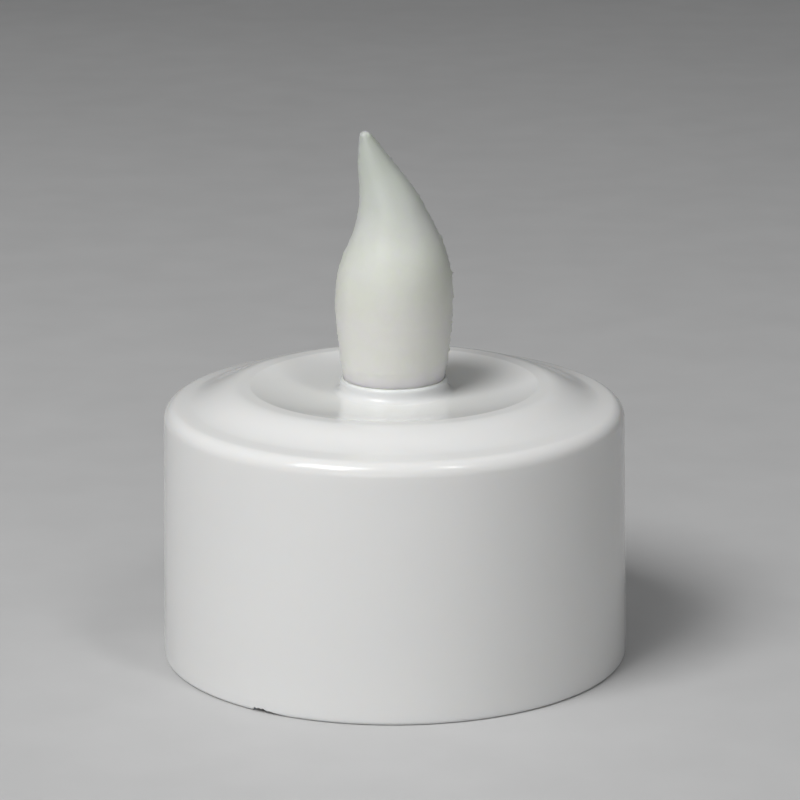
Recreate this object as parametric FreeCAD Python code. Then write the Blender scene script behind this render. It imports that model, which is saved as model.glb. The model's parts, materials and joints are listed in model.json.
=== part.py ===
import FreeCAD, Part
import math
import os

# Flameless LED tea light, in millimetres. The origin is the middle of the foot ring, +Z is up and -Y is the
# front. The tip of the flame leans to -X. The switch and the battery door are underneath.

V = FreeCAD.Vector
UP = V(0, 0, 1)
ALONG_X = V(1, 0, 0)

# Outer shell
foot_d = 37.8            # upright land at the foot, which a candle holder's cup goes round
foot_land = 0.8          # height of that land, where the wall's draft starts
foot_round = 0.3
rim_z = 20.9             # height of the rim
rim_fillet = 1.2
draft_deg = 1.0
wall = 1.2
shoulder_in = 1.9        # from the wall at the rim to where the hump starts to rise
hump_rise = 1.45         # crest of the hump above the rim
hump_run = 4.15          # width of the hump's outer slope
crest_flat = 0.9
crest_round = 1.0        # rounding between the crest and the dished bowl
bowl_drop = 0.56         # bowl floor below the crest
bowl_d = 11.0            # flat part of the bowl's floor
collar_h = 1.1           # collar above the bowl floor
collar_wall = 0.26
collar_round = 0.65      # fillet at the collar's foot
notch_w = 1.5            # small nick in the foot where the moulding was broken off its gate
notch_h = 0.2
notch_deg = -125.0
rib_count = 6
rib_w = 1.0
rib_depth = 0.9
snap_count = 4
snap_arc_deg = 24.0
snap_first_deg = 45.0
snap_depth = 0.35
snap_root = 0.2          # how far a snap bump goes into the wall

# Flame
flame_d = 9.36           # at its widest
flame_h = 20.1           # above the collar
flame_stem_d = 8.1       # through the collar
flame_wall = 0.95
flame_flange_d = 10.6
flame_flange_t = 1.1
flame_clearance = 0.04   # stem to collar
slip = 0.02              # between two pieces that are pressed or set together
# Height up the flame, lean of the centre, half width and depth against width, as shares of the flame's
# height and of its greatest radius.
flame_sections = [
    (0.005, 0.000, 0.875, 1.00),
    (0.073, 0.000, 0.915, 1.00),
    (0.200, 0.000, 0.970, 1.00),
    (0.320, 0.000, 1.000, 1.00),
    (0.410, 0.010, 0.975, 1.00),
    (0.475, 0.022, 0.915, 0.99),
    (0.540, 0.035, 0.817, 0.98),
    (0.605, 0.028, 0.700, 0.96),
    (0.670, -0.005, 0.593, 0.94),
    (0.735, -0.068, 0.508, 0.92),
    (0.800, -0.162, 0.418, 0.90),
    (0.865, -0.280, 0.316, 0.88),
    (0.930, -0.386, 0.202, 0.86),
    (0.972, -0.448, 0.118, 0.86),
]
flame_tip_lean = -0.478
flame_hollow_to = 6      # the last section that the hollow follows

# Base cover and cell pocket
base_z = 1.6             # outer face, recessed above the foot
base_t = 1.2
base_gap = 0.15          # base plate to shell
cell_d = 20.0            # size 2032 lithium coin cell
cell_t = 3.2
cell_gap = 0.3           # round the cell
cell_y = -4.6
cell_lift = 0.25         # cell above the door's inner face
spring_room = 1.0        # above the cell
pocket_wall = 2.1
ceiling_t = 0.8

# Battery door
door_gap = 0.25          # door edge to base cover
door_seat = 0.05
door_lip = 1.1           # door edge beyond the pocket
door_tab_w = 6.4
hinge_x = 4.0            # middle of each hinge tab
hinge_tab_w = 2.6
hinge_r = 0.65
hinge_pin_r = 0.35
hinge_pin_gap = 0.05
hinge_pin_l = 0.6
hinge_reach = 0.8        # hinge axis in front of the door's straight edge
hinge_lip = 0.35         # base cover's edge behind the hinge axis, clear of the swinging door
ridge_count = 4          # grip ridges on the door
ridge_y = -9.6
ridge_pitch = 1.2
ridge_l = 6.0
ridge_w = 0.5
arrow_w = 3.2            # arrow from the ridges towards the screw
arrow_l = 2.0
arrow_gap = 3.4

# Door screw, a captive M2, and the two board screws
screw_r = 1.0
screw_head_r = 1.8
screw_head_h = 0.65
screw_pitch = 0.4
screw_thread = 0.18      # depth of the thread
screw_engage = 1.6
screw_swing_gap = 0.2    # room for the screw to swing out with the door
retainer_t = 0.5
retainer_r = 1.85
boss_wall = 1.2
board_screw_l = 6.0
board_screw_x = 12.2
board_screw_y = 6.6

# Circuit board
board_r = 15.2
board_t = 1.0
board_stand = 1.2        # above the pocket's ceiling
board_cut_y = -7.6
pin_gap = 0.15           # round each pin or lead in the board

# Slide switch
switch_y = 13.0
switch_l = 8.5
switch_w = 3.7
switch_h = 3.5
switch_sheet = 0.3
switch_board_t = 0.8
switch_travel = 2.0
switch_pitch = 2.5
knob_l = 2.0
knob_w = 1.5
knob_tip_z = 0.5
slot_gap = 0.3
slide_gap = 0.06
dish_rim = 0.9           # finger dish round the knob's slot
dish_depth = 0.35
mark_h = 0.15            # raised marks, ridges and arrow
mark_r = 0.75            # off and on marks
mark_w = 0.28
mark_away = 2.2          # a mark's middle from the slot's end

# LED
led_r = 2.5
led_flange_r = 2.9
led_flange_t = 1.0
led_gap = 0.1            # LED to the flame's bore
led_flat = 0.1           # flat of the LED's flange outside its lens
led_h = 8.6
lead_w = 0.5
lead_pitch = 2.54
holder_r = 3.2
holder_disc_t = 1.0

# Metal strips
strip_t = 0.25
strip_w = 4.0
touch_gap = 0.05         # contact to cell, so that the cell is free to move

# Heights that follow from the sizes above
base_in_z = base_z + base_t
door_in_z = base_in_z - door_seat
cell_z = door_in_z + cell_lift
cell_top_z = cell_z + cell_t
ceiling_z = cell_top_z + spring_room
board_z = ceiling_z + ceiling_t + board_stand
board_top_z = board_z + board_t
foot_r = foot_d / 2
draft = math.tan(math.radians(draft_deg))
crest_z = rim_z + hump_rise
bowl_z = crest_z - bowl_drop
bowl_r = bowl_d / 2
collar_z = bowl_z + collar_h
collar_r_in = flame_stem_d / 2 + flame_clearance
flame_seat_z = bowl_z - wall
led_seat_z = flame_seat_z - flame_flange_t
pocket_r = cell_d / 2 + cell_gap
pocket_out_r = pocket_r + pocket_wall
door_r = pocket_r + door_lip
door_front_y = cell_y - cell_d / 2 + touch_gap
hinge_y = door_front_y - hinge_reach
hinge_z = base_z + hinge_r
screw_bore_r = screw_r + screw_swing_gap
boss_r = screw_bore_r + boss_wall
screw_y = cell_y + pocket_r + boss_r
retainer_z = door_in_z + 0.02
boss_z = retainer_z + retainer_t + 0.08
screw_tip_z = boss_z + screw_engage


def wall_r(z):
    """Outer radius of the wall, which is drafted above the land at the foot."""
    return foot_r - draft * max(z - foot_land, 0)


def inner_r(z):
    """Inner radius of the shell's wall."""
    return wall_r(z) - wall


class Outline:
    """A closed outline in the plane of radius and height, drawn edge by edge."""

    def __init__(self, r, z):
        self.start = V(r, 0, z)
        self.here = self.start
        self.edges = []

    def line(self, r, z):
        """A straight edge."""
        there = V(r, 0, z)
        if there.distanceToPoint(self.here) > 1e-6:
            self.edges.append(Part.LineSegment(self.here, there).toShape())
        self.here = there
        return self

    def arc(self, r, z, bulge_r, bulge_z):
        """An arc through a point on its way."""
        there = V(r, 0, z)
        self.edges.append(Part.Arc(self.here, V(bulge_r, 0, bulge_z), there).toShape())
        self.here = there
        return self

    def round(self, r, z, centre_r, centre_z):
        """A quarter round or less about a centre."""
        radius = math.hypot(r - centre_r, z - centre_z)
        mid_r = (r + self.here.x) / 2 - centre_r
        mid_z = (z + self.here.z) / 2 - centre_z
        grow = radius / math.hypot(mid_r, mid_z)
        return self.arc(r, z, centre_r + mid_r * grow, centre_z + mid_z * grow)

    def ease(self, r, z):
        """An S-curve that is level at both ends."""
        third = (r - self.here.x) / 3
        curve = Part.BezierCurve()
        curve.setPoles([self.here, V(self.here.x + third, 0, self.here.z), V(r - third, 0, z), V(r, 0, z)])
        self.edges.append(curve.toShape())
        self.here = V(r, 0, z)
        return self

    def face(self):
        """The closed face inside the outline."""
        self.line(self.start.x, self.start.z)
        return Part.Face(Part.Wire(self.edges))

    def turned(self, degrees=360.0):
        """The solid made by turning the outline about Z."""
        return self.face().revolve(V(0, 0, 0), UP, degrees)


def tube(r_out, r_in, z0, z1, x=0.0, y=0.0):
    """A ring standing on z0."""
    outer = disc(r_out, z0, z1, x, y)
    return outer.cut(disc(r_in, z0 - 1, z1 + 1, x, y))


def disc(r, z0, z1, x=0.0, y=0.0):
    """A round solid standing on z0."""
    return Part.makeCylinder(r, z1 - z0, V(x, y, z0))


def block(x0, x1, y0, y1, z0, z1):
    """A rectangular solid between two corners."""
    return Part.makeBox(x1 - x0, y1 - y0, z1 - z0, V(x0, y0, z0))


def soft_block(x0, x1, y0, y1, z0, z1, radius):
    """A rectangular solid with rounded upright edges."""
    solid = block(x0, x1, y0, y1, z0, z1)
    upright = [e for e in solid.Edges if abs(e.tangentAt(e.FirstParameter).z) > 0.9]
    return solid.makeFillet(radius, upright)


def about_z(shape, degrees, x=0.0, y=0.0):
    """A copy turned about an upright axis."""
    copy = shape.copy()
    copy.rotate(V(x, y, 0), UP, degrees)
    return copy


def bent_strip(path, thickness, y0, y1):
    """Sheet metal bent along a path in the plane of X and Z, with its thickness on the left of the path."""
    points = [V(x, y0, z) for x, z in path]
    normals = []
    for a, b in zip(points, points[1:]):
        along = b.sub(a).normalize()
        normals.append(V(-along.z, 0, along.x))
    other_side = []
    for i, point in enumerate(points):
        before = normals[max(i - 1, 0)]
        after = normals[min(i, len(normals) - 1)]
        middle = before.add(after)
        middle.multiply(1 / (1 + before.dot(after)))
        other_side.append(point.add(middle.multiply(thickness)))
    loop = points + other_side[::-1] + [points[0]]
    return Part.Face(Part.makePolygon(loop)).extrude(V(0, y1 - y0, 0))


def threaded_pin(r, z_top, z_bottom, x, y):
    """A screw's shank with thread ridges, from its head at one height to a blunt point at the other."""
    going_up = z_top < z_bottom
    step = screw_pitch if going_up else -screw_pitch
    core = r - screw_thread
    outline = Outline(0, z_top).line(r, z_top)
    z = z_top + step
    while abs(z_bottom - z) > 2 * screw_pitch:
        outline.line(core, z + step / 2)
        outline.line(r, z + step)
        z += step
    outline.line(core, z_bottom - step / 2)
    outline.line(core / 2, z_bottom)
    outline.line(0, z_bottom)
    shank = outline.turned()
    shank.translate(V(x, y, 0))
    return shank


def cross_recess(x, y, z, depth):
    """The cross-shaped cut of a screw's head, going up from z by depth, or down when depth is negative."""
    low = min(z, z + depth)
    high = max(z, z + depth)
    arm = screw_head_r * 0.62
    half = screw_head_r * 0.14
    return block(x - arm, x + arm, y - half, y + half, low, high).fuse(
        block(x - half, x + half, y - arm, y + arm, low, high)
    )


# --- Shell -------------------------------------------------------------------------------------------------


def outer_shell():
    """The white moulding: wall, rim, hump, bowl and collar, with ribs and snap bumps inside."""
    fillet_z = rim_z - rim_fillet
    slope = math.radians(draft_deg)
    touch_z = fillet_z + rim_fillet * math.sin(slope)
    fillet_r = wall_r(touch_z) - rim_fillet * math.cos(slope)
    shoulder_r = wall_r(rim_z) - shoulder_in
    crest_r = shoulder_r - hump_run
    crest_in_r = crest_r - crest_flat
    inner_round = rim_fillet / 2
    inner_touch_r = inner_r(rim_z - wall - inner_round)
    collar_r = collar_r_in + collar_wall
    collar_foot_r = collar_r + collar_round
    collar_foot_z = bowl_z + collar_round

    # The bowl is dished: an arc that is level where it meets the flat floor and rises to the crest's edge.
    dish_run = crest_in_r - bowl_r
    dish_deg = 2 * math.atan2(bowl_drop, dish_run)
    dish_r = dish_run / math.sin(dish_deg)
    dish_mid_r = bowl_r + dish_r * math.sin(dish_deg / 2)
    dish_mid_z = bowl_z + dish_r * (1 - math.cos(dish_deg / 2))
    bend = crest_round * math.tan(dish_deg / 2)
    bend_r = crest_in_r - bend * math.cos(dish_deg)
    bend_z = crest_z - bend * math.sin(dish_deg)

    outline = Outline(foot_r - wall, 0)
    outline.line(foot_r - foot_round, 0)
    outline.round(foot_r, foot_round, foot_r - foot_round, foot_round)
    outline.line(foot_r, foot_land)
    outline.line(wall_r(touch_z), touch_z)
    outline.round(fillet_r, rim_z, fillet_r, fillet_z)
    outline.line(shoulder_r, rim_z)
    outline.ease(crest_r, crest_z)
    outline.line(crest_in_r + bend, crest_z)
    outline.round(bend_r, bend_z, crest_in_r + bend, crest_z - crest_round)
    outline.arc(bowl_r, bowl_z, dish_mid_r, dish_mid_z)
    outline.line(collar_foot_r, bowl_z)
    outline.round(collar_r, collar_foot_z, collar_foot_r, collar_foot_z)
    outline.line(collar_r, collar_z - collar_wall)
    outline.round(collar_r_in, collar_z, collar_r_in, collar_z - collar_wall)
    outline.line(collar_r_in, bowl_z - wall)
    outline.line(bowl_r, bowl_z - wall)
    outline.line(crest_in_r, crest_z - wall)
    outline.line(crest_r, crest_z - wall)
    outline.ease(shoulder_r - wall / 2, rim_z - wall)
    outline.line(inner_touch_r - inner_round, rim_z - wall)
    outline.round(inner_touch_r, rim_z - wall - inner_round, inner_touch_r - inner_round,
                  rim_z - wall - inner_round)
    shell = outline.turned()

    # Upright ribs, whose lower ends are the stop for the base cover.
    rib_top = rim_z - wall - inner_round
    for i in range(rib_count):
        rib = block(inner_r(rib_top) - rib_depth, wall_r(rib_top) - wall / 2, -rib_w / 2, rib_w / 2,
                    base_in_z + door_seat, rib_top)
        shell = shell.fuse(about_z(rib, 360 / rib_count * i))

    # Snap bumps, which hold the base cover from below.
    low = base_z - touch_gap
    bump = Outline(inner_r(low) + snap_root, low)
    bump.line(inner_r(low) - snap_depth, low)
    bump.line(inner_r(low) + snap_root, low - 3 * snap_depth)
    bump = about_z(bump.turned(snap_arc_deg), -snap_arc_deg / 2)
    for i in range(snap_count):
        shell = shell.fuse(about_z(bump, snap_first_deg + 360 / snap_count * i))

    notch = block(foot_r - wall - 1, foot_r + 1, -notch_w / 2, notch_w / 2, -1, notch_h)
    return shell.cut(about_z(notch, notch_deg)).removeSplitter()


# --- Flame -------------------------------------------------------------------------------------------------


def flame_loop(section, inset=0.0):
    """One level section of the flame."""
    height, lean, width, depth = section
    radius = flame_d / 2
    z = collar_z + height * flame_h
    half = width * radius - inset
    centre = V(lean * radius, 0, z)
    across = min(half * depth, half * 0.9999)
    loop = Part.Ellipse(V(centre.x + half, 0, z), V(centre.x, across, z), centre)
    return Part.Wire(loop.toShape())


def flame_diffuser():
    """The hollow milky flame, with the stem and the flange that hold it in the shell."""
    stem_r = flame_stem_d / 2
    tip = Part.Vertex(V(flame_tip_lean * flame_d / 2, 0, collar_z + flame_h))
    outer = Part.makeLoft([flame_loop(s) for s in flame_sections] + [tip], True)
    base = flame_sections[0]
    base_z_here = collar_z + base[0] * flame_h
    hollow_loops = [flame_loop(s, flame_wall) for s in flame_sections[: flame_hollow_to + 1]]
    end = flame_sections[flame_hollow_to]
    roof = V(end[1] * flame_d / 2, 0, collar_z + flame_h * end[0] + end[2] * flame_d / 3)
    hollow = Part.makeLoft(hollow_loops + [Part.Vertex(roof)], True)
    stem = disc(stem_r, flame_seat_z - flame_flange_t, base_z_here)
    flange = disc(flame_flange_d / 2, flame_seat_z - flame_flange_t, flame_seat_z - slip)
    body = outer.fuse([stem, flange])
    bore = disc(led_flange_r + led_gap, flame_seat_z - flame_flange_t - 1, base_z_here + 0.2)
    return body.cut(hollow.fuse(bore)).removeSplitter()


# --- LED ---------------------------------------------------------------------------------------------------


def led_frame(side, top_w, top_h):
    """One lead of the LED with its flattened top inside the lens."""
    x = side * lead_pitch / 2
    half = lead_w / 2
    foot_z = board_z - 0.7
    top_z = led_seat_z + led_flange_t + 1.6
    lead = block(x - half, x + half, -half, half, foot_z, top_z)
    inner = side * 0.12
    outer = side * (0.12 + top_w)
    head = block(min(inner, outer), max(inner, outer), -half, half, top_z - 0.1, top_z + top_h)
    return lead.fuse(head).removeSplitter()


def led_parts():
    """The lens, its two leads and the die in the cathode's cup."""
    anode = led_frame(-1, 1.1, 1.9)
    cathode = led_frame(1, 1.9, 1.5)
    cup_z = led_seat_z + led_flange_t + 3.1
    cup = Part.makeCone(0.35, 0.7, 0.45, V(0.9, 0, cup_z - 0.45))
    cathode = cathode.cut(cup)
    die = block(0.72, 1.08, -0.18, 0.18, cup_z - 0.45, cup_z - 0.2)
    dome_z = led_seat_z + led_h - led_r
    lens = disc(led_flange_r, led_seat_z, led_seat_z + led_flange_t)
    lens = lens.fuse(disc(led_r, led_seat_z, dome_z))
    lens = lens.fuse(Part.makeSphere(led_r, V(0, 0, dome_z)))
    flat = block(led_r + led_flat, led_flange_r + 1, -led_flange_r, led_flange_r, led_seat_z,
                 led_seat_z + led_flange_t)
    lens = lens.cut([flat, anode, cathode, die]).removeSplitter()
    return {"led_lens": lens, "led_anode_lead": anode, "led_cathode_lead": cathode, "led_die": die}


def led_holder():
    """The white post that stands on the board, carries the LED and backs the flame's flange."""
    foot_z = board_top_z + slip
    post = disc(holder_r, foot_z, led_seat_z - slip)
    cap = disc(flame_flange_d / 2 - 0.3, led_seat_z - holder_disc_t, led_seat_z - slip)
    foot = disc(holder_r + 0.9, foot_z, foot_z + 0.8)
    holder = post.fuse([cap, foot])
    for side in (-1, 1):
        x = side * lead_pitch / 2
        half = lead_w / 2 + 0.1
        holder = holder.cut(block(x - half, x + half, -half, half, foot_z - 1, led_seat_z + 1))
    web = (lead_pitch - lead_w) / 2 - 0.3
    window = block(-holder_r - 1, holder_r + 1, web, holder_r + 1, foot_z + 1.6,
                   led_seat_z - holder_disc_t - 0.8)
    return holder.cut(window).removeSplitter()


# --- Circuit board -----------------------------------------------------------------------------------------

contact_x = cell_d / 2 + touch_gap
contact_bow = 0.45       # how far a contact strip stands off the cell away from its bow


def lead_places():
    """Where a lead or pin comes through the board: x, y, half size along x, half size along y."""
    places = [(side * lead_pitch / 2, 0.0, lead_w / 2, lead_w / 2) for side in (-1, 1)]
    places += [(i * switch_pitch, switch_y, 0.3, 0.2) for i in (-1, 0, 1)]
    places += [(side * (contact_x + contact_bow + strip_t / 2), cell_y, strip_t / 2, 0.6) for side in (-1, 1)]
    return places


def circuit_board():
    """A round board with one straight side, drilled for its screws, leads and pins."""
    board = disc(board_r, board_z, board_top_z)
    board = board.cut(block(-board_r, board_r, -board_r - 1, board_cut_y, board_z - 1, board_top_z + 1))
    for side in (-1, 1):
        board = board.cut(disc(screw_r + pin_gap, board_z - 1, board_top_z + 1, side * board_screw_x,
                               board_screw_y))
    for x, y, half_x, half_y in lead_places():
        board = board.cut(block(x - half_x - pin_gap, x + half_x + pin_gap, y - half_y - pin_gap,
                                y + half_y + pin_gap, board_z - 1, board_top_z + 1))
    return board


def solder_cone(x, y, half_x, half_y, z, height):
    """A solder fillet round a pin, upright or hanging, with the pin's own space left out."""
    foot = max(half_x, half_y) + 0.55
    axis = V(0, 0, math.copysign(1, height))
    cone = Part.makeCone(foot, max(half_x, half_y) + 0.08, abs(height), V(x, y, z), axis)
    low = min(z, z + height) - 1
    pin = block(x - half_x, x + half_x, y - half_y, y + half_y, low, low + abs(height) + 2)
    return cone.cut(pin)


def solder_joints():
    """The fillets of solder: the LED's are under the board, the others on top."""
    cones = []
    for i, (x, y, half_x, half_y) in enumerate(lead_places()):
        if i < 2:
            cones.append(solder_cone(x, y, half_x, half_y, board_z, -0.6))
        else:
            cones.append(solder_cone(x, y, half_x, half_y, board_top_z, 0.6))
    return Part.makeCompound(cones)


def flicker_chip():
    """The black blob of resin over the flicker controller."""
    blob_r = 2.6
    blob_h = 1.3
    ball_r = (blob_r**2 + blob_h**2) / (2 * blob_h)
    ball = Part.makeSphere(ball_r, V(-7.2, 6.2, board_top_z + blob_h - ball_r))
    return ball.common(disc(blob_r + 1, board_top_z, board_top_z + 3, -7.2, 6.2))


def chip_part(x, y, length, width, height):
    """A small surface-mounted chip, lying along X, with its metal ends a little proud."""
    z = board_top_z
    body = block(x - length / 2 + 0.4, x + length / 2 - 0.4, y - width / 2, y + width / 2, z + 0.03,
                 z + height)
    for side in (-1, 1):
        end = x + side * (length / 2 - 0.25)
        body = body.fuse(block(end - 0.25, end + 0.25, y - width / 2 - 0.03, y + width / 2 + 0.03, z,
                               z + height + 0.03))
    return body


def board_screws():
    """The two screws that hold the board to the base cover's posts."""
    screws = []
    for side in (-1, 1):
        x = side * board_screw_x
        head = disc(screw_head_r, board_top_z, board_top_z + 1.2, x, board_screw_y)
        top = [e for e in head.Edges if abs(e.CenterOfMass.z - board_top_z - 1.2) < 0.01]
        head = head.makeFillet(0.45, top)
        head = head.cut(cross_recess(x, board_screw_y, board_top_z + 1.2, -0.7))
        shank = threaded_pin(screw_r, board_top_z, board_top_z - board_screw_l, x, board_screw_y)
        screws.append(head.fuse(shank))
    return Part.makeCompound(screws)


# --- Slide switch ------------------------------------------------------------------------------------------

switch_z = board_z - switch_h
knob_x = -switch_travel / 2          # off is towards -X


def switch_frame():
    """The folded steel frame, open at its ends, with a slot for the knob and clinched tabs."""
    half_l = switch_l / 2
    half_w = switch_w / 2
    frame = block(-half_l, half_l, -half_w, half_w, switch_z, board_z - 0.05)
    frame = frame.cut(block(-half_l - 1, half_l + 1, -half_w + switch_sheet, half_w - switch_sheet,
                            switch_z + switch_sheet, board_z + 1))
    slot_half = (knob_l + switch_travel) / 2 + slide_gap
    frame = frame.cut(block(-slot_half, slot_half, -knob_w / 2 - slide_gap, knob_w / 2 + slide_gap,
                            switch_z - 1, switch_z + 1))
    for side in (-1, 1):
        end = side * (half_l - 0.6)
        window = block(end - 0.8, end + 0.8, -switch_w, switch_w, board_z - 0.55, board_z + 1)
        frame = frame.cut(window)
    frame.translate(V(0, switch_y, 0))
    return frame


def switch_base_board():
    """The phenolic plate that closes the frame and holds the terminals."""
    half_l = switch_l / 2 - 0.1
    half_w = switch_w / 2 - switch_sheet - 0.02
    board = block(-half_l, half_l, -half_w, half_w, board_z - switch_board_t, board_z - 0.02)
    board.translate(V(0, switch_y, 0))
    for terminal in switch_terminals().Solids:
        board = board.cut(terminal)
    return board


def switch_terminals():
    """Three flat terminals, each with a pad inside the switch and a pin up through the board."""
    pads = []
    for i in (-1, 0, 1):
        x = i * switch_pitch
        pin = block(x - 0.3, x + 0.3, switch_y - 0.2, switch_y + 0.2, board_z - switch_board_t,
                    board_top_z + 0.8)
        pad = block(x - 0.75, x + 0.75, switch_y - 0.9, switch_y + 0.9, board_z - switch_board_t - 0.15,
                    board_z - switch_board_t)
        pads.append(pin.fuse(pad).removeSplitter())
    return Part.makeCompound(pads)


def switch_clip():
    """The sliding contact, which bridges two neighbouring pads."""
    top_z = board_z - switch_board_t - 0.15 - touch_gap
    half = switch_pitch * 0.5 + 0.35
    clip = bent_strip([(knob_x - half, top_z - 0.5), (knob_x - half + 0.5, top_z - 0.2),
                       (knob_x + half - 0.5, top_z - 0.2), (knob_x + half, top_z - 0.5)],
                      0.15, switch_y - 0.8, switch_y + 0.8)
    return clip


def switch_knob():
    """The slider and its knob, which reaches down through the base cover."""
    clip_low = board_z - switch_board_t - 0.15 - touch_gap - 0.55
    floor_z = switch_z + switch_sheet + slide_gap
    half_w = switch_w / 2 - switch_sheet - slide_gap
    slider = block(knob_x - 2.05, knob_x + 2.05, switch_y - half_w, switch_y + half_w, floor_z, clip_low)
    knob = soft_block(knob_x - knob_l / 2, knob_x + knob_l / 2, switch_y - knob_w / 2, switch_y + knob_w / 2,
                      knob_tip_z, floor_z + 0.2, 0.2)
    knob = slider.fuse(knob)
    for i in (-1, 0, 1):
        x = knob_x + i * 0.55
        groove = block(x - 0.1, x + 0.1, switch_y - knob_w, switch_y + knob_w, knob_tip_z - 1,
                       knob_tip_z + 0.2)
        knob = knob.cut(groove)
    return knob.removeSplitter()


# --- Cell and its contacts ---------------------------------------------------------------------------------


def cell_parts():
    """The coin cell: the can faces the door, the cap faces up, and a gasket parts them."""
    r = cell_d / 2
    sheet = 0.25
    crimp_r = r - 0.85
    top_z = cell_z + cell_t
    can = Outline(0, cell_z).line(r - 0.35, cell_z)
    can.round(r, cell_z + 0.35, r - 0.35, cell_z + 0.35)
    can.line(r, top_z - 1.0)
    can.round(crimp_r, top_z - 0.15, crimp_r, top_z - 1.0)
    can.line(crimp_r, top_z - 0.15 - sheet)
    can.round(r - sheet, top_z - 1.0, crimp_r, top_z - 1.0)
    can.line(r - sheet, cell_z + sheet)
    can.line(0, cell_z + sheet)

    gasket = Outline(r - sheet - 0.02, cell_z + sheet + 0.02)
    gasket.line(r - sheet - 0.02, top_z - 1.05)
    gasket.line(crimp_r, top_z - 0.42)
    gasket.line(crimp_r - 0.02, top_z - 0.12)
    gasket.line(crimp_r - 0.3, top_z - 0.12)
    gasket.line(crimp_r - 0.3, cell_z + sheet + 0.02)

    cap_r = crimp_r - 0.34
    cap = Outline(0, top_z).line(cap_r - 0.4, top_z)
    cap.round(cap_r, top_z - 0.4, cap_r - 0.4, top_z - 0.4)
    cap.line(cap_r, cell_z + 0.9)
    cap.line(cap_r - sheet, cell_z + 0.9)
    cap.line(cap_r - sheet, top_z - 0.4)
    cap.line(cap_r - sheet - 0.15, top_z - sheet)
    cap.line(0, top_z - sheet)

    stack = disc(cap_r - sheet - 0.2, cell_z + sheet + 0.02, top_z - sheet - 0.02)
    parts = {"cell_can": can.turned(), "cell_gasket": gasket.turned(), "cell_cap": cap.turned(),
             "cell_electrodes": stack}
    for shape in parts.values():
        shape.translate(V(0, cell_y, 0))
    return parts


def contact_tail(side):
    """The narrow tail of a contact, from above the pocket's ceiling through the board."""
    x = side * (contact_x + contact_bow)
    far = x + side * strip_t
    return block(min(x, far), max(x, far), cell_y - 0.6, cell_y + 0.6, board_z - 0.3, board_top_z + 0.8)


def positive_contact():
    """The bowed strip that bears on the side of the can."""
    low_z = cell_z + 0.2
    x = -contact_x
    back = x - contact_bow
    path = [(back, low_z), (x, low_z + 0.9), (x, low_z + 1.5), (back, low_z + 2.6), (back, board_z - 0.3)]
    strip = bent_strip(path, strip_t, cell_y - strip_w / 2, cell_y + strip_w / 2)
    return strip.fuse(contact_tail(-1)).removeSplitter()


def negative_contact():
    """The sprung leaf that bears on the middle of the cap."""
    touch_z = cell_top_z + touch_gap
    rise_x = contact_x + contact_bow + strip_t
    roof_z = ceiling_z - strip_t - 0.15
    path = [(rise_x, board_z - 0.3), (rise_x, roof_z), (3.0, roof_z - 0.1), (0.6, touch_z), (-0.6, touch_z),
            (-1.6, touch_z + 0.35)]
    leaf = bent_strip(path[::-1], strip_t, cell_y - strip_w / 2, cell_y + strip_w / 2)
    return leaf.fuse(contact_tail(1)).removeSplitter()


# --- Base cover, door and door screw -----------------------------------------------------------------------


def door_outline(grow, front_y, z0, z1):
    """The door's plate, grown all round: a round with one straight side, and the screw's tab."""
    plate = disc(door_r + grow, z0, z1, 0, cell_y)
    plate = plate.cut(block(-door_r - 2, door_r + 2, front_y - door_r, front_y, z0 - 1, z1 + 1))
    half = door_tab_w / 2 + grow
    tab_end = screw_y + boss_r + 0.1 + grow
    tab = block(-half, half, cell_y, tab_end - half, z0, z1)
    return plate.fuse([tab, disc(half, z0, z1, 0, tab_end - half)]).removeSplitter()


def hinge_pins(grow, tab_grow):
    """The two hinge tabs' round ends and pins, grown for the cut that holds them."""
    shapes = []
    for side in (-1, 1):
        x = side * hinge_x
        half = hinge_tab_w / 2 + tab_grow
        reach = half - tab_grow + hinge_pin_l + grow
        knuckle_end = V(x - half, hinge_y, hinge_z)
        pin_end = V(x - reach, hinge_y, hinge_z)
        shapes.append(Part.makeCylinder(hinge_r + tab_grow, 2 * half, knuckle_end, ALONG_X))
        shapes.append(Part.makeCylinder(hinge_pin_r + grow, 2 * reach, pin_end, ALONG_X))
    return shapes


def battery_door():
    """The door, with two hinge tabs at the front and the screw's hole at the back."""
    door = door_outline(0, door_front_y, base_z, door_in_z)
    shapes = hinge_pins(0, 0)
    for side in (-1, 1):
        x = side * hinge_x
        half = hinge_tab_w / 2
        shapes.append(block(x - half, x + half, hinge_y, door_front_y + 1.2, base_z, door_in_z))
    door = door.fuse(shapes)
    door = door.cut(disc(screw_r + 0.1, base_z - 1, door_in_z + 1, 0, screw_y))

    # Grip ridges and an arrow that points to the screw, raised on the outer face.
    low_z = base_z - mark_h
    for i in range(ridge_count):
        y = ridge_y + i * ridge_pitch
        door = door.fuse(block(-ridge_l / 2, ridge_l / 2, y, y + ridge_w, low_z, base_z + mark_h))
    tip_y = screw_y - arrow_gap
    left = V(-arrow_w / 2, tip_y - arrow_l, low_z)
    right = V(arrow_w / 2, tip_y - arrow_l, low_z)
    arrow = Part.Face(Part.makePolygon([left, right, V(0, tip_y, low_z), left]))
    door = door.fuse(arrow.extrude(V(0, 0, 2 * mark_h)))
    return door.removeSplitter()


def door_screw():
    """The captive screw: its pan head is under the door and its shank goes up into the boss."""
    head_z = base_z - screw_head_h
    head = disc(screw_head_r, head_z, base_z - 0.02, 0, screw_y)
    low = [e for e in head.Edges if abs(e.CenterOfMass.z - head_z) < 0.01]
    head = head.makeFillet(0.3, low)
    head = head.cut(cross_recess(0, screw_y, head_z, 0.45))
    shank = threaded_pin(screw_r, base_z - 0.02, screw_tip_z, 0, screw_y)
    return head.fuse(shank).removeSplitter()


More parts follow.
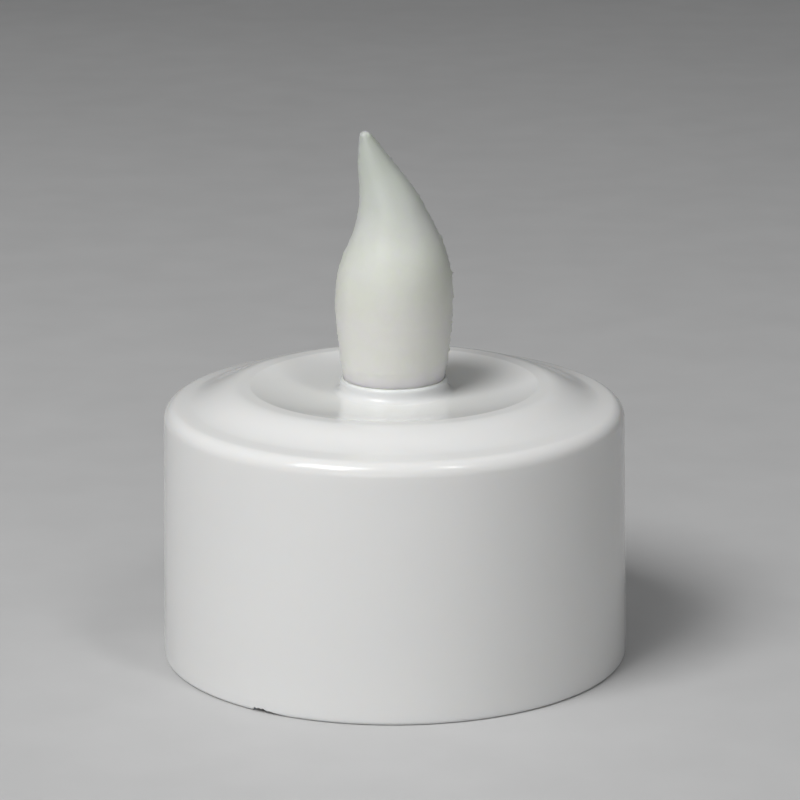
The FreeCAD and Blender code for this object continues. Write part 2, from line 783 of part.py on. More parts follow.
def screw_retainer():
    """The ring pushed on the shank, which keeps the screw in the door."""
    return tube(retainer_r, screw_r + 0.01, retainer_z, retainer_z + retainer_t, 0, screw_y)


def base_cover():
    """The round floor of the candle, with the cell's pocket, the screw boss and the board's posts."""
    plate_r = inner_r(base_in_z) - base_gap
    roof_z = ceiling_z + ceiling_t
    cover = disc(plate_r, base_z, base_in_z)
    pocket = disc(pocket_out_r, base_in_z, roof_z, 0, cell_y)
    boss = disc(boss_r, base_in_z, roof_z, 0, screw_y)
    cover = cover.fuse([pocket, boss])
    for side in (-1, 1):
        cover = cover.fuse(disc(screw_r + 1.2, base_in_z - 0.1, board_z - 0.02, side * board_screw_x,
                                board_screw_y))
        cover = cover.fuse(disc(2.0, roof_z - 0.1, board_z - 0.02, side * 7.0, cell_y + 1.5))
    cover = cover.common(disc(plate_r, base_z, board_z))

    # Space for the cell, the door, the hinge, the screws and the contacts.
    cover = cover.cut(disc(pocket_r, base_in_z - 0.5, ceiling_z, 0, cell_y))
    cover = cover.cut(door_outline(door_gap, hinge_y + hinge_lip, base_z - 1, base_in_z))
    cover = cover.cut(hinge_pins(hinge_pin_gap, door_gap))
    for side in (-1, 1):
        x = side * hinge_x
        half = hinge_tab_w / 2 + door_gap
        knuckle_y = hinge_y - hinge_r - door_gap
        cover = cover.cut(block(x - half, x + half, knuckle_y, door_front_y, base_z - 1, hinge_z))
        cover = cover.cut(block(x - half, x + half, hinge_y, door_front_y, base_z - 1, hinge_z + hinge_r))
        cover = cover.cut(disc(screw_r + 0.03, board_top_z - board_screw_l - 0.5, board_z + 1,
                               side * board_screw_x, board_screw_y))
        near = contact_x - 0.5
        far = contact_x + contact_bow + strip_t + 0.3
        cover = cover.cut(block(min(side * near, side * far), max(side * near, side * far),
                                cell_y - strip_w / 2 - 0.2, cell_y + strip_w / 2 + 0.2, cell_z, board_z + 1))
    cover = cover.cut(disc(screw_bore_r, base_in_z - 1, roof_z - ceiling_t, 0, screw_y))
    cover = cover.cut(disc(retainer_r + door_gap, base_in_z - 1, boss_z, 0, screw_y))

    # Slot for the switch's knob, with a shallow finger dish round it.
    slot_l = (knob_l + switch_travel) / 2 + slot_gap
    slot_w = knob_w / 2 + slot_gap
    low_y = switch_y - slot_w
    high_y = switch_y + slot_w
    slot = soft_block(-slot_l, slot_l, low_y, high_y, base_z - 1, base_in_z + 1, slot_gap)
    dish = soft_block(-slot_l - dish_rim, slot_l + dish_rim, low_y - dish_depth, high_y + dish_rim,
                      base_z - 1, base_z + dish_depth, dish_rim)
    cover = cover.cut([slot, dish])

    # Off and on marks beside the slot: a ring and a bar.
    off_mark = tube(mark_r, mark_r - mark_w, base_z - mark_h, base_z + mark_h, -slot_l - mark_away, switch_y)
    bar_x = slot_l + mark_away
    on_mark = block(bar_x - mark_w / 2, bar_x + mark_w / 2, switch_y - mark_r, switch_y + mark_r,
                    base_z - mark_h, base_z + mark_h)
    cover = cover.fuse([off_mark, on_mark])
    return cover.removeSplitter()


def build():
    """Every piece by the name of its node."""
    parts = {
        "outer_shell": outer_shell(),
        "flame_diffuser": flame_diffuser(),
        "led_holder": led_holder(),
        "circuit_board": circuit_board(),
        "solder_joints": solder_joints(),
        "flicker_chip": flicker_chip(),
        "chip_resistor": chip_part(6.6, 4.6, 3.2, 1.6, 0.6),
        "chip_capacitor": chip_part(6.6, 8.4, 2.4, 1.3, 1.0),
        "board_screws": board_screws(),
        "switch_frame": switch_frame(),
        "switch_base_board": switch_base_board(),
        "switch_terminals": switch_terminals(),
        "switch_contact_clip": switch_clip(),
        "switch_knob": switch_knob(),
        "positive_contact": positive_contact(),
        "negative_contact": negative_contact(),
        "base_cover": base_cover(),
        "battery_door": battery_door(),
        "door_screw": door_screw(),
        "screw_retainer": screw_retainer(),
    }
    parts.update(led_parts())
    parts.update(cell_parts())
    return parts


os.makedirs("parts", exist_ok=True)
for name, shape in build().items():
    shape.exportStep(f"parts/{name}.step")
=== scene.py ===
import json
import math

import bmesh
import bpy
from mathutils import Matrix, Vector, noise


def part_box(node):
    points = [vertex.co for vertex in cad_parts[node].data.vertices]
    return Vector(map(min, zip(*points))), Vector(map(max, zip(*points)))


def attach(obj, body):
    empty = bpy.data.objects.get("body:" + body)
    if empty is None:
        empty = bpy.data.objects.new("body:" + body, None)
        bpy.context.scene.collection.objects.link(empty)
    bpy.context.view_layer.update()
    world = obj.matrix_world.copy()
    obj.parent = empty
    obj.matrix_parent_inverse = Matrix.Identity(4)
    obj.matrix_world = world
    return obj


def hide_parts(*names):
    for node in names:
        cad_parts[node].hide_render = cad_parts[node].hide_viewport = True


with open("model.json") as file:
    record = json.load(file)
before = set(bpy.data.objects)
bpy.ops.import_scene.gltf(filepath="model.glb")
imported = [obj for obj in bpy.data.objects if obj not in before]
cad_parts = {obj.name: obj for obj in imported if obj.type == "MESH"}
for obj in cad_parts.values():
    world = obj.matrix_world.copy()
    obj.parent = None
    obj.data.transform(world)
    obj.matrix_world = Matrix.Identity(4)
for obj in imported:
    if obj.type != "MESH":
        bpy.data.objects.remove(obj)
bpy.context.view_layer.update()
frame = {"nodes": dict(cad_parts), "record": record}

MM = 0.001
PI = math.pi

# Sizes in millimetres. They repeat the CAD model's, because the frame gives only its boxes.
FOOT_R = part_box("outer_shell")[1].x / MM
COLLAR_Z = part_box("outer_shell")[1].z / MM
TIP_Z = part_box("flame_diffuser")[1].z / MM
FLAME_SEAT_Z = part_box("flame_diffuser")[0].z / MM
WALL = 1.2
DRAFT_DEG = 1.0
FOOT_LAND = 0.8
FOOT_ROUND = 0.3
RIM_Z = 20.9
RIM_FILLET = 1.2
SHOULDER_IN = 1.9
VALLEY_SLOPE = math.radians(8)
CREST_Z = RIM_Z + 1.45
HUMP_RUN = 4.15
CREST_FLAT = 0.9
CREST_ROUND = 1.0
BOWL_Z = CREST_Z - 0.56
BOWL_R = 5.5
COLLAR_R_IN = 4.09
COLLAR_WALL = 0.26
COLLAR_ROUND = 0.65
SNAP_LOW_Z = 0.5
SNAP_Z = 1.55
SNAP_DEPTH = 0.35
SNAP_HALF_DEG = 12.0
SNAP_FLANK = 0.05
NICK_DEG = -126.5
NICK_W_DEG = 9.0
NICK_H = 0.5
NICK_STEEP = 0.12
NICK_TAPER = 0.7
NICK_RAGGED = 9

# The camera's place and long lens, and the small turns that set the object where the photograph has it.
CAMERA_AIM_Z = 10.0
CAMERA_DISTANCE = 299.7
CAMERA_UP_DEG = 17.17
CAMERA_LENS = 165.6
CAMERA_TURN_DEG = (90 - 15.15, 0.19, -0.146)

# Softboxes: name, azimuth from the camera's (leftwards negative), elevation, distance, width, height and
# radiance.
SOFTBOXES = [
    ("key", -44, 54, 600, 260, 290, 11.2),
    ("second", 40, 57, 600, 74, 190, 12.0),
    ("front", -11, 12, 700, 500, 260, 1.9),
    ("overhead", 180, 82, 460, 460, 320, 0.52),
]
SOFTBOX_AIM_Z = 15.0
FLOOR_HALF = 6000.0
FLOOR_COLOUR = (0.56, 0.56, 0.56)
WORLD_COLOUR = (0.9, 0.95, 1.0)
WORLD_STRENGTH = 0.03


# --- Camera and room ------------------------------------------------------------------------------


def add_camera():
    """The view from the front and a little above, with the long lens of a product picture."""
    elevation = math.radians(CAMERA_UP_DEG)
    out = Vector((0, -math.cos(elevation), math.sin(elevation)))
    data = bpy.data.cameras.new("camera")
    data.sensor_width = 36.0
    data.lens = CAMERA_LENS
    data.clip_start = 0.01
    data.clip_end = 20.0
    camera = bpy.data.objects.new("camera", data)
    camera.location = Vector((0, 0, CAMERA_AIM_Z * MM)) + CAMERA_DISTANCE * MM * out
    camera.rotation_euler = [math.radians(turn) for turn in CAMERA_TURN_DEG]
    bpy.context.scene.collection.objects.link(camera)
    bpy.context.scene.camera = camera


def add_softbox(name, azimuth, elevation, distance, width, height, radiance):
    """A softbox that faces the object from an azimuth, an elevation and a distance."""
    data = bpy.data.lights.new(name, "AREA")
    data.shape = "RECTANGLE"
    data.size = width * MM
    data.size_y = height * MM
    data.energy = radiance * PI * data.size * data.size_y
    light = bpy.data.objects.new(name, data)
    across = math.radians(azimuth)
    up = math.radians(elevation)
    out = Vector((math.sin(across) * math.cos(up), -math.cos(across) * math.cos(up), math.sin(up)))
    light.location = Vector((0, 0, SOFTBOX_AIM_Z * MM)) + out * distance * MM
    light.rotation_euler = out.to_track_quat("Z", "Y").to_euler()
    bpy.context.scene.collection.objects.link(light)


def add_room():
    """A pale floor, a dim grey world and the softboxes."""
    mesh = bpy.data.meshes.new("floor")
    half = FLOOR_HALF * MM
    corners = [(-half, -half, 0), (half, -half, 0), (half, half, 0), (-half, half, 0)]
    mesh.from_pydata(corners, [], [(0, 1, 2, 3)])
    floor = bpy.data.objects.new("floor", mesh)
    bpy.context.scene.collection.objects.link(floor)
    floor.data.materials.append(plastic("floor_paper", FLOOR_COLOUR, 0.6, grain=40, bump=0.02))

    world = bpy.data.worlds.new("world")
    world.use_nodes = True
    world.node_tree.nodes["Background"].inputs["Color"].default_value = (*WORLD_COLOUR, 1)
    world.node_tree.nodes["Background"].inputs["Strength"].default_value = WORLD_STRENGTH
    bpy.context.scene.world = world
    bpy.context.scene.view_settings.view_transform = "Standard"

    for softbox in SOFTBOXES:
        add_softbox(*softbox)


# --- Materials ------------------------------------------------------------------------------------

# Share of the flame's height and its tone, as painted shade: the solid upper part is painted darker, standing
# in for the light that spreads in it and is lost.
FLAME_PAINTED_SHADE = [
    (0.00, (0.96, 0.96, 0.91)),
    (0.10, (0.97, 0.975, 0.91)),
    (0.25, (0.97, 0.975, 0.91)),
    (0.42, (0.83, 0.83, 0.81)),
    (0.60, (0.73, 0.715, 0.76)),
    (0.80, (0.63, 0.63, 0.66)),
    (0.97, (0.51, 0.515, 0.54)),
]


class Nodes:
    """A material's node tree with short calls to add to it."""

    def __init__(self, name):
        self.material = bpy.data.materials.new(name)
        self.material.use_nodes = True
        self.tree = self.material.node_tree
        self.shader = self.tree.nodes["Principled BSDF"]
        place = self.tree.nodes.new("ShaderNodeTexCoord")
        self.place = place.outputs["Object"]

    def add(self, kind, **values):
        """A node of a kind, with its inputs or properties set by name."""
        node = self.tree.nodes.new(kind)
        for key, value in values.items():
            if key in node.inputs:
                node.inputs[key].default_value = value
            else:
                setattr(node, key, value)
        return node

    def link(self, a, b):
        """Links an output to an input."""
        self.tree.links.new(a, b)

    def noise(self, scale, detail=3.0, rough=0.5):
        """Noise whose scale is in cells to the metre; gives its factor."""
        node = self.add("ShaderNodeTexNoise", Scale=scale, Detail=detail, Roughness=rough)
        self.link(self.place, node.inputs["Vector"])
        return node.outputs["Fac"]

    def spread(self, value, low, high):
        """A factor from 0 to 1 spread over a range."""
        node = self.add("ShaderNodeMapRange")
        self.link(value, node.inputs["Value"])
        node.inputs["To Min"].default_value = low
        node.inputs["To Max"].default_value = high
        return node.outputs["Result"]

    def ramp(self, value, stops):
        """A colour ramp from (position, colour) stops."""
        node = self.tree.nodes.new("ShaderNodeValToRGB")
        ramp = node.color_ramp
        while len(ramp.elements) < len(stops):
            ramp.elements.new(0.5)
        for element, (at, colour) in zip(ramp.elements, stops):
            element.position = at
            element.color = (*colour, 1)
        self.link(value, node.inputs["Fac"])
        return node.outputs["Color"]

    def bump(self, height, distance, after=None):
        """A bump of a height in metres; a second one can follow a first."""
        node = self.add("ShaderNodeBump", Strength=1.0, Distance=distance)
        self.link(height, node.inputs["Height"])
        if after is not None:
            self.link(after, node.inputs["Normal"])
        self.link(node.outputs["Normal"], self.shader.inputs["Normal"])
        return node.outputs["Normal"]

    def set(self, **values):
        """Constant values on the shader's own sockets."""
        for key, value in values.items():
            self.shader.inputs[key.replace("_", " ")].default_value = value


def shade(colour, factor):
    """A colour made lighter or darker."""
    return tuple(min(c * factor, 1.0) for c in colour)


def plastic(name, colour, roughness, grain=900, bump=0.0, vary=0.03, subsurface=0.0, clear=0.0):
    """Moulded plastic: slightly uneven in colour and gloss, with a fine texture, and clear where asked."""
    n = Nodes(name)
    stops = [(0.3, shade(colour, 1 - vary)), (0.7, shade(colour, 1 + vary / 2))]
    n.link(n.ramp(n.noise(120, 4), stops), n.shader.inputs["Base Color"])
    n.link(n.spread(n.noise(grain / 3, 5), roughness * 0.8, roughness * 1.25), n.shader.inputs["Roughness"])
    if bump:
        n.bump(n.noise(grain, 4), bump * MM)
    if subsurface:
        n.set(Subsurface_Weight=subsurface, Subsurface_Scale=0.001)
        n.shader.inputs["Subsurface Radius"].default_value = (1.2, 1.0, 0.9)
    if clear:
        n.set(Transmission_Weight=clear, IOR=1.53)
    return n.material


def metal(name, colour, roughness, grain=1500, bump=0.004):
    """Plated metal with faint handling marks."""
    n = Nodes(name)
    n.set(Metallic=1.0)
    stops = [(0.3, shade(colour, 0.88)), (0.7, colour)]
    n.link(n.ramp(n.noise(350, 5), stops), n.shader.inputs["Base Color"])
    marks = n.spread(n.noise(grain, 6, 0.65), roughness * 0.6, roughness * 1.5)
    n.link(marks, n.shader.inputs["Roughness"])
    n.bump(n.noise(grain * 2, 3), bump * MM)
    return n.material


def shell_plastic():
    """Glossy white plastic with the faint waviness of a moulded wall."""
    n = Nodes("shell_plastic")
    colour = (0.80, 0.80, 0.79)
    stops = [(0.3, shade(colour, 0.985)), (0.7, colour)]
    n.link(n.ramp(n.noise(90, 3), stops), n.shader.inputs["Base Color"])
    n.link(n.spread(n.noise(260, 5, 0.6), 0.09, 0.17), n.shader.inputs["Roughness"])
    n.set(Subsurface_Weight=0.25, Subsurface_Scale=0.001, IOR=1.49, Specular_IOR_Level=0.3)
    n.shader.inputs["Subsurface Radius"].default_value = (1.3, 1.1, 0.9)
    wavy = n.bump(n.noise(110, 1), 0.012 * MM)
    n.bump(n.noise(2600, 2), 0.0006 * MM, after=wavy)
    return n.material


def flame_plastic():
    """Milky soft plastic, satin and a little green, with painted shade that darkens its colour up its height.
    """
    n = Nodes("flame_plastic")
    milk = n.ramp(n.noise(420, 5, 0.6), [(0.25, (0.86, 0.90, 0.79)), (0.75, (0.90, 0.94, 0.85))])
    split = n.add("ShaderNodeSeparateXYZ")
    n.link(n.place, split.inputs[0])
    height = n.add("ShaderNodeMapRange")
    n.link(split.outputs["Z"], height.inputs["Value"])
    height.inputs["From Min"].default_value = COLLAR_Z * MM
    height.inputs["From Max"].default_value = TIP_Z * MM
    # Painted shade: the colour darkens up the flame's height, towards the tip.
    painted_shade = n.ramp(height.outputs["Result"], FLAME_PAINTED_SHADE)
    shaded = n.add("ShaderNodeMixRGB", Fac=1.0, blend_type="MULTIPLY")
    n.link(milk, shaded.inputs["Color1"])
    n.link(painted_shade, shaded.inputs["Color2"])
    n.link(shaded.outputs["Color"], n.shader.inputs["Base Color"])
    n.link(n.spread(n.noise(900, 5), 0.34, 0.5), n.shader.inputs["Roughness"])
    n.set(Subsurface_Weight=0.95, Subsurface_Scale=0.0019, IOR=1.45)
    n.shader.inputs["Subsurface Radius"].default_value = (1.3, 1.45, 1.0)
    soft = n.bump(n.noise(700, 4), 0.02 * MM)
    n.bump(n.noise(5200, 2), 0.004 * MM, after=soft)
    return n.material


# --- Meshes ---------------------------------------------------------------------------------------


WELD_M = 1e-7
SHARP = math.radians(38)


def make_piece(name, vertices, faces, material):
    """An object of welded faces in millimetres, smooth except along sharp edges, riding on the housing."""
    mesh = bpy.data.meshes.new(name)
    mesh.from_pydata([Vector(v) * MM for v in vertices], [], faces)
    work = bmesh.new()
    work.from_mesh(mesh)
    bmesh.ops.remove_doubles(work, verts=work.verts, dist=WELD_M)
    bmesh.ops.recalc_face_normals(work, faces=work.faces)
    for face in work.faces:
        face.smooth = True
    for edge in work.edges:
        edge.smooth = len(edge.link_faces) == 2 and edge.calc_face_angle(0) < SHARP
    work.to_mesh(mesh)
    work.free()
    mesh.materials.append(material)
    piece = bpy.data.objects.new(name, mesh)
    bpy.context.scene.collection.objects.link(piece)
    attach(piece, "housing")
    return piece


def loops_to_faces(loop_count, size, joined):
    """Quads between neighbouring closed loops of points; joined means the last meets the first too."""
    faces = []
    last = loop_count if joined else loop_count - 1
    for i in range(last):
        j = (i + 1) % loop_count
        for k in range(size):
            m = (k + 1) % size
            faces.append((i * size + k, i * size + m, j * size + m, j * size + k))
    return faces


class Profile:
    """Points of radius and height along an outline, close enough together to look round."""

    def __init__(self, r, z):
        self.points = [(r, z)]

    def line(self, r, z, steps=1):
        """A straight stretch."""
        r0, z0 = self.points[-1]
        for i in range(1, steps + 1):
            t = i / steps
            self.points.append((r0 + (r - r0) * t, z0 + (z - z0) * t))
        return self

    def round(self, r, z, centre_r, centre_z, steps=10):
        """An arc about a centre, the short way."""
        r0, z0 = self.points[-1]
        a0 = math.atan2(z0 - centre_z, r0 - centre_r)
        a1 = math.atan2(z - centre_z, r - centre_r)
        turn = (a1 - a0 + PI) % (2 * PI) - PI
        radius = math.hypot(r - centre_r, z - centre_z)
        for i in range(1, steps + 1):
            a = a0 + turn * i / steps
            self.points.append((centre_r + radius * math.cos(a), centre_z + radius * math.sin(a)))
        return self

    def ease(self, r, z, steps=24, slope=0.0):
        """An S-curve that starts with a slope and ends level."""
        r0, z0 = self.points[-1]
        start = slope * abs(r - r0)
        for i in range(1, steps + 1):
            t = i / steps
            rise = (z - z0) * t * t * (3 - 2 * t) + start * t * (1 - t) * (1 - t)
            self.points.append((r0 + (r - r0) * t, z0 + rise))
        return self


def wall_r(z):
    """Outer radius of the wall, drafted above the land at the foot."""
    return FOOT_R - math.tan(math.radians(DRAFT_DEG)) * max(z - FOOT_LAND, 0)


INNER_FOOT_R = FOOT_R - WALL
SHOULDER_R = wall_r(RIM_Z) - SHOULDER_IN
CREST_R = SHOULDER_R - HUMP_RUN
CREST_IN_R = CREST_R - CREST_FLAT


def wall_and_rim(p):
    """From the inside of the foot up the outside of the wall, and over the rim to the hump's shoulder."""
    slope = math.radians(DRAFT_DEG)
    fillet_z = RIM_Z - RIM_FILLET
    touch_z = fillet_z + RIM_FILLET * math.sin(slope)
    fillet_r = wall_r(touch_z) - RIM_FILLET * math.cos(slope)
    land_r = fillet_r + RIM_FILLET * math.sin(VALLEY_SLOPE)
    land_z = fillet_z + RIM_FILLET * math.cos(VALLEY_SLOPE)
    p.line(FOOT_R - FOOT_ROUND, 0, 2)
    p.round(FOOT_R, FOOT_ROUND, FOOT_R - FOOT_ROUND, FOOT_ROUND)
    p.line(FOOT_R, FOOT_LAND, 2)
    p.line(wall_r(touch_z), touch_z, 24)
    p.round(land_r, land_z, fillet_r, fillet_z, 18)
    p.line(SHOULDER_R, land_z + (land_r - SHOULDER_R) * math.tan(VALLEY_SLOPE), 3)


def hump_and_bowl(p):
    """Over the hump, down into the dished bowl and up the collar to its lip."""
    dish = 2 * math.atan2(CREST_Z - BOWL_Z, CREST_IN_R - BOWL_R)
    dish_r = (CREST_IN_R - BOWL_R) / math.sin(dish)
    bend = CREST_ROUND * math.tan(dish / 2)
    collar_r = COLLAR_R_IN + COLLAR_WALL
    collar_foot_r = collar_r + COLLAR_ROUND
    p.ease(CREST_R, CREST_Z, 32, math.tan(VALLEY_SLOPE))
    p.line(CREST_IN_R + bend, CREST_Z, 3)
    p.round(CREST_IN_R - bend * math.cos(dish), CREST_Z - bend * math.sin(dish),
            CREST_IN_R + bend, CREST_Z - CREST_ROUND, 5)
    p.round(BOWL_R, BOWL_Z, BOWL_R, BOWL_Z + dish_r, 20)
    p.line(collar_foot_r, BOWL_Z, 2)
    p.round(collar_r, BOWL_Z + COLLAR_ROUND, collar_foot_r, BOWL_Z + COLLAR_ROUND, 10)
    p.line(collar_r, COLLAR_Z - COLLAR_WALL, 2)
    p.round(COLLAR_R_IN, COLLAR_Z, COLLAR_R_IN, COLLAR_Z - COLLAR_WALL, 7)


def inside(p, snap):
    """Down through the collar, along the underside of the top and down the wall, with a snap bump's share."""
    corner_r = wall_r(RIM_Z - WALL) - WALL
    inner_round = RIM_FILLET / 2
    corner_z = RIM_Z - WALL - inner_round
    p.line(COLLAR_R_IN, BOWL_Z - WALL, 3)
    p.line(BOWL_R, BOWL_Z - WALL, 3)
    p.line(CREST_IN_R, CREST_Z - WALL, 3)
    p.line(CREST_R, CREST_Z - WALL)
    p.ease(SHOULDER_R - WALL / 2, RIM_Z - WALL, 8)
    p.line(corner_r - inner_round, RIM_Z - WALL)
    p.round(corner_r, corner_z, corner_r - inner_round, corner_z, 5)
    p.line(INNER_FOOT_R, SNAP_Z + SNAP_FLANK, 3)
    p.line(INNER_FOOT_R - SNAP_DEPTH * snap, SNAP_Z)
    p.line(INNER_FOOT_R, SNAP_LOW_Z)


def shell_profile(snap):
    """The shell's whole outline, with a share of a snap bump."""
    p = Profile(INNER_FOOT_R, 0)
    wall_and_rim(p)
    hump_and_bowl(p)
    inside(p, snap)
    return p.points


def snap_share(degrees):
    """How much of a snap bump stands at an angle about the axis: four short arcs have one."""
    past = (degrees - 45) % 90
    return 1.0 if min(past, 90 - past) <= SNAP_HALF_DEG else 0.0


def nick_lift(degrees):
    """Height of the chip broken out of the foot: steep at one end, tapering off at the other."""
    share = (degrees - NICK_DEG) / NICK_W_DEG
    if share <= 0 or share >= 1:
        return 0.0
    rise = min(share / NICK_STEEP, 1.0)
    ragged = 0.8 + 0.4 * noise.noise(Vector((share * NICK_RAGGED, 0, 0)))
    return NICK_H * rise * (1 - share) ** NICK_TAPER * ragged


SHELL_AROUND = 288
SNAP_END_DEG = 0.15
NICK_STEPS = 24
NEAREST_DEG = 0.05


def shell_angles():
    """Angles of the columns: even, with close ones at the ends of the snap bumps and along the nick."""
    angles = [360 * k / SHELL_AROUND for k in range(SHELL_AROUND)]
    for i in range(4):
        for side in (-1, 1):
            edge = 45 + 90 * i + side * SNAP_HALF_DEG
            angles += [edge, edge + side * SNAP_END_DEG]
    angles += [(NICK_DEG + NICK_W_DEG * k / NICK_STEPS) % 360 for k in range(NICK_STEPS + 1)]
    angles.sort()
    return [a for a, after in zip(angles, angles[1:] + [360.0]) if after - a > NEAREST_DEG]


def outer_shell():
    """The white case as one smooth turned mesh, with its snap bumps and the nick in its foot."""
    profiles = {0.0: shell_profile(0.0), 1.0: shell_profile(1.0)}
    angles = shell_angles()
    vertices = []
    for degrees in angles:
        a = math.radians(degrees)
        lift = nick_lift(degrees if degrees < 180 else degrees - 360)
        for r, z in profiles[snap_share(degrees)]:
            raised = max(z, lift) if z < NICK_H else z
            vertices.append((r * math.cos(a), r * math.sin(a), raised))
    faces = loops_to_faces(len(angles), len(profiles[0.0]), True)
    shell = make_piece("case", vertices, faces, shell_plastic())
    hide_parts("outer_shell")


# Height up the flame, lean of its middle, half width and depth against width, as in the CAD model.
FLAME_SECTIONS = [
    (0.005, 0.000, 0.875, 1.00),
    (0.073, 0.000, 0.915, 1.00),
    (0.200, 0.000, 0.970, 1.00),
    (0.320, 0.000, 1.000, 1.00),
    (0.410, 0.010, 0.975, 1.00),
    (0.475, 0.022, 0.915, 0.99),
    (0.540, 0.035, 0.817, 0.98),
    (0.605, 0.028, 0.700, 0.96),
    (0.670, -0.005, 0.593, 0.94),
    (0.735, -0.068, 0.508, 0.92),
    (0.800, -0.162, 0.418, 0.90),
    (0.865, -0.280, 0.316, 0.88),
    (0.930, -0.386, 0.202, 0.86),
    (0.972, -0.448, 0.118, 0.86),
]
FLAME_R = 4.68
TIP_LEAN = -0.478
FLAME_AROUND = 128
FLAME_LEVELS = 130
FLAME_FROM = 0.006
FLAME_TIP_FROM = 0.975
TIP_RINGS = 8
TIP_OPEN = 0.6

# The hollow inside: its wall, the share of the height where its roof begins to close, its end and its rings.
FLAME_WALL = 0.95
ROOF_FROM = 0.42
ROOF_RUN = 0.126
ROOF_LEAST = 0.0004
HOLLOW_TO = 0.545
HOLLOW_RINGS = 12

# The flange under the collar and the stem through it.
STEM_SLIP = 0.04
STEM_RINGS = 5
FLANGE_R_IN = 3.0
FLANGE_R = 5.3
FLANGE_T = 1.08
FLANGE_ROUND = 0.1
FLANGE_EDGE = 1.0
HOLLOW_TAPER = 0.05
HOLLOW_DROP = 0.1

# What stands on the flame's surface: lumps, flash along the seam, less on the left, a ridge near the tip and
# a small step by the collar.
SURFACE_FADE = 0.04
LUMP = 0.035
SEAM_HALF = 0.06
SEAM_RISE = 0.03
BURR = 0.18
SPIKE = 0.22
LEFT_FLASH = 0.5
RIDGE_AT = math.radians(262)
RIDGE_HALF = 0.35
RIDGE_FROM = 0.55
RIDGE_RISE = 0.16
STEP_TO = 0.055
STEP_IN = 0.04


def smooth_at(stations, t):
    """The values at t of a smooth curve through stations that each start with their own t."""
    for i in range(len(stations) - 1):
        if t <= stations[i + 1][0] or i == len(stations) - 2:
            break
    a = stations[max(i - 1, 0)]
    b = stations[i]
    c = stations[i + 1]
    d = stations[min(i + 2, len(stations) - 1)]
    u = (t - b[0]) / (c[0] - b[0])
    values = []
    for k in range(1, len(b)):
        slope_b = (c[k] - a[k]) / (c[0] - a[0])
        slope_c = (d[k] - b[k]) / (d[0] - b[0])
        run = c[0] - b[0]
        values.append(
            (2 * u**3 - 3 * u**2 + 1) * b[k]
            + (u**3 - 2 * u**2 + u) * run * slope_b
            + (3 * u**2 - 2 * u**3) * c[k]
            + (u**3 - u**2) * run * slope_c
        )
    return values


def surface_rise(a, z, share):
    """How far the flame's surface stands out at an angle, a height and that height's share."""
    fade = min(share / SURFACE_FADE, 1.0)
    lump = noise.noise(Vector((math.cos(a) * 2.1, math.sin(a) * 2.1, z * 0.45)))
    burr = noise.noise(Vector((math.copysign(3.0, math.cos(a)), 0, z * 1.7)))
    spike = noise.noise(Vector((math.copysign(7.0, math.cos(a)), 4, z * 5.2)))
    at_seam = math.exp(-((math.sin(a) / SEAM_HALF) ** 2))
    at_front = math.exp(-(((a - RIDGE_AT) / RIDGE_HALF) ** 2))
    flash = 1.0 if math.cos(a) > 0 else LEFT_FLASH
    rise = LUMP * lump * fade
    rise += (SEAM_RISE + BURR * max(burr, 0.0) + SPIKE * max(spike, 0.0)) * at_seam * fade * flash
    rise += RIDGE_RISE * at_front * max(share - RIDGE_FROM, 0.0)
    if share < STEP_TO:
        rise -= STEP_IN
    return rise


def flame_ring(z, centre_x, half, depth, share=None):
    """A level ring of the flame. On the outside, share is its height's share, and its surface is uneven."""
    points = []
    for k in range(FLAME_AROUND):
        a = 2 * PI * k / FLAME_AROUND
        r = half if share is None else half + surface_rise(a, z, share)
        points.append((centre_x + r * math.cos(a), r * depth * math.sin(a), z))
    return points


def hollow_rings(height):
    """The hollow from its roof down to the seat, and round the flange to the stem."""
    rings = []
    for i in range(HOLLOW_RINGS + 1):
        t = HOLLOW_TO * (1 - i / HOLLOW_RINGS)
        lean, width, depth = smooth_at(FLAME_SECTIONS, max(t, FLAME_SECTIONS[0][0]))
        roof = math.sqrt(max(1 - (max(t - ROOF_FROM, 0) / ROOF_RUN) ** 2, ROOF_LEAST))
        half = (width * FLAME_R - FLAME_WALL) * roof
        rings.append(flame_ring(COLLAR_Z + t * height, lean * FLAME_R, half, depth))
    top_z = FLAME_SEAT_Z + FLANGE_T
    flange = [
        (FLANGE_R_IN + HOLLOW_TAPER, COLLAR_Z - HOLLOW_DROP),
        (FLANGE_R_IN, FLAME_SEAT_Z),
        (FLANGE_R - FLANGE_ROUND, FLAME_SEAT_Z),
        (FLANGE_R, FLAME_SEAT_Z + FLANGE_ROUND),
        (FLANGE_R, FLAME_SEAT_Z + FLANGE_EDGE),
        (FLANGE_R - FLANGE_ROUND, top_z),
        (COLLAR_R_IN - STEM_SLIP, top_z),
    ]
    return rings + [flame_ring(z, 0, r, 1) for r, z in flange]


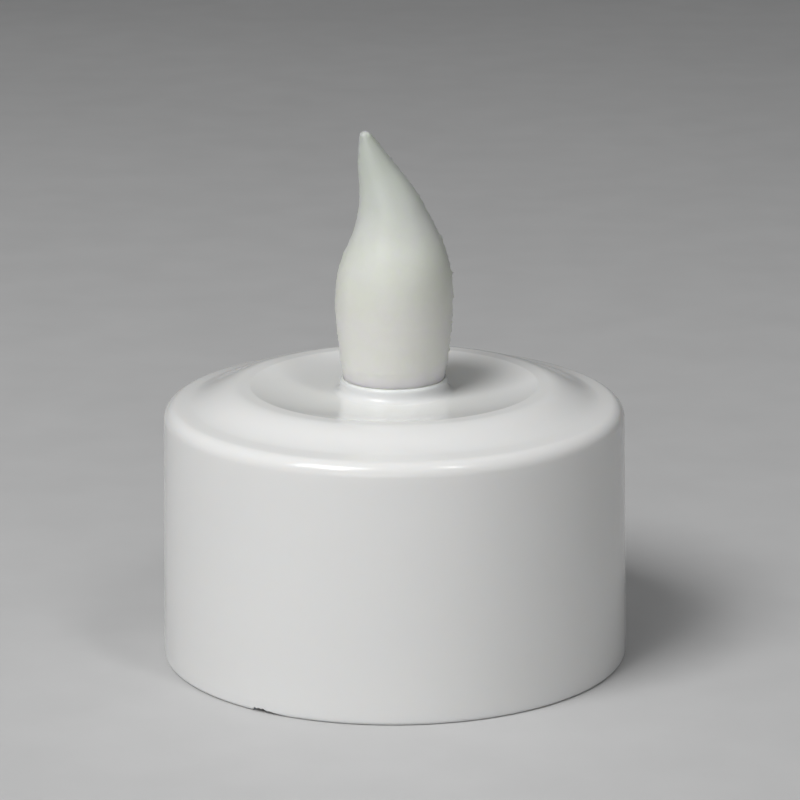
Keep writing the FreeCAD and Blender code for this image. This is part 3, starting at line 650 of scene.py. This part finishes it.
def flame():
    """The milky flame: a hollow soft moulding with a rounded tip, a parting line and small lumps."""
    height = TIP_Z - COLLAR_Z
    rings = hollow_rings(height)
    stem_z = FLAME_SEAT_Z + FLANGE_T
    for i in range(1, STEM_RINGS + 1):
        z = stem_z + (COLLAR_Z - stem_z) * i / STEM_RINGS
        rings.append(flame_ring(z, 0, COLLAR_R_IN - STEM_SLIP, 1))
    for i in range(FLAME_LEVELS):
        t = FLAME_FROM + (FLAME_TIP_FROM - FLAME_FROM) * i / (FLAME_LEVELS - 1)
        lean, width, depth = smooth_at(FLAME_SECTIONS, t)
        rings.append(flame_ring(COLLAR_Z + t * height, lean * FLAME_R, width * FLAME_R, depth, t))
    for i in range(1, TIP_RINGS + 1):
        a = PI / 2 * i / (TIP_RINGS + TIP_OPEN)
        z = TIP_Z - (1 - math.sin(a)) * (1 - FLAME_TIP_FROM) * height
        x = (lean + (TIP_LEAN - lean) * math.sin(a)) * FLAME_R
        rings.append(flame_ring(z, x, width * FLAME_R * math.cos(a), depth))

    vertices = [p for ring in rings for p in ring]
    faces = loops_to_faces(len(rings), FLAME_AROUND, False)
    faces.append(tuple(range(FLAME_AROUND)))
    faces.append(tuple(range((len(rings) - 1) * FLAME_AROUND, len(rings) * FLAME_AROUND)))
    piece = make_piece("flame", vertices, faces, flame_plastic())
    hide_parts("flame_diffuser")


# --- Materials of the pieces that keep their CAD shape --------------------------------------------


def paint_nodes():
    """Gives each CAD node its material."""
    white = (0.78, 0.78, 0.77)
    palette = {
        "base_plastic": plastic("base_plastic", white, 0.38, grain=1400, bump=0.01, subsurface=0.1),
        "knob_plastic": plastic("knob_plastic", (0.02, 0.02, 0.022), 0.4, grain=1500, bump=0.006),
        "holder_plastic": plastic("holder_plastic", (0.74, 0.74, 0.72), 0.4, grain=1200, bump=0.006),
        "led_resin": plastic("led_resin", (0.90, 0.91, 0.89), 0.12, clear=0.85),
        "led_phosphor": plastic("led_phosphor", (0.85, 0.65, 0.08), 0.5),
        "tinned_metal": metal("tinned_metal", (0.72, 0.72, 0.72), 0.3),
        "board_laminate": plastic("board_laminate", (0.02, 0.16, 0.05), 0.3, 1600, bump=0.01, vary=0.15),
        "solder": metal("solder", (0.72, 0.73, 0.75), 0.22),
        "blob_resin": plastic("blob_resin", (0.012, 0.012, 0.013), 0.25, bump=0.01),
        "chip_resistor": plastic("chip_resistor", (0.02, 0.02, 0.022), 0.4),
        "chip_capacitor": plastic("chip_capacitor", (0.45, 0.32, 0.18), 0.5),
        "screw_steel": metal("screw_steel", (0.58, 0.58, 0.60), 0.3),
        "retainer_rubber": plastic("retainer_rubber", (0.015, 0.015, 0.015), 0.6),
        "switch_steel": metal("switch_steel", (0.66, 0.66, 0.66), 0.3),
        "phenolic": plastic("phenolic", (0.28, 0.13, 0.05), 0.5, vary=0.1),
        "contact_metal": metal("contact_metal", (0.74, 0.66, 0.46), 0.28),
        "cell_nickel": metal("cell_nickel", (0.70, 0.70, 0.69), 0.24),
        "gasket_plastic": plastic("gasket_plastic", (0.16, 0.16, 0.17), 0.5),
        "electrode_pellet": plastic("electrode_pellet", (0.04, 0.04, 0.04), 0.8),
    }
    slots = {row["node"]: row["material_slot"] for row in frame["record"]["subparts"]}
    for name, piece in frame["nodes"].items():
        if slots[name] in palette:
            piece.data.materials.clear()
            piece.data.materials.append(palette[slots[name]])


add_camera()
add_room()
paint_nodes()
outer_shell()
flame()
